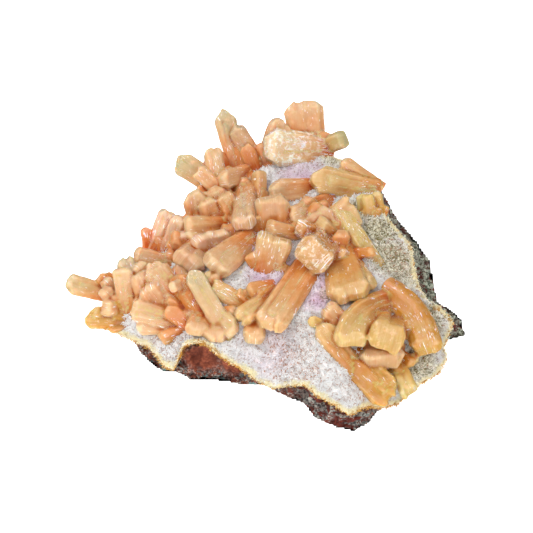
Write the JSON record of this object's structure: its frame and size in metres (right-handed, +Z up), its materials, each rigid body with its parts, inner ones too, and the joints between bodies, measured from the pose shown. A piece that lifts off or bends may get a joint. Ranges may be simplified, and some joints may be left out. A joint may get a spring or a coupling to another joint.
{
  "type": "stilbite on matrix",
  "caption": "Mineral specimen: sprays of flat peach-coloured stilbite crystals on a white granular crust over a chip of dark basalt.",
  "frame": {"origin": "on the broken base of the basalt, below the middle of the plate", "axes": "+X to the right and +Z up, out of the crust; -Y is the front, the side with the bare red-brown rock"},
  "size_m": [0.1005, 0.0917, 0.0269],
  "materials": {
    "basalt": "rough, broken",
    "druse": "fine grained, sparkling",
    "stilbite": "waxy and pearly, translucent"
  },
  "bodies": {
    "root": {"basalt_matrix": "basalt", "druse_crust": "druse", "stilbite_left_spray": "stilbite", "stilbite_left_fan": "stilbite", "stilbite_upper_left_spray": "stilbite", "stilbite_top_blades": "stilbite", "stilbite_upper_centre_blades": "stilbite", "stilbite_upper_right_tips": "stilbite", "stilbite_front_blades": "stilbite", "stilbite_centre_blades": "stilbite", "stilbite_right_sheaf": "stilbite"}
  },
  "joints": []
}
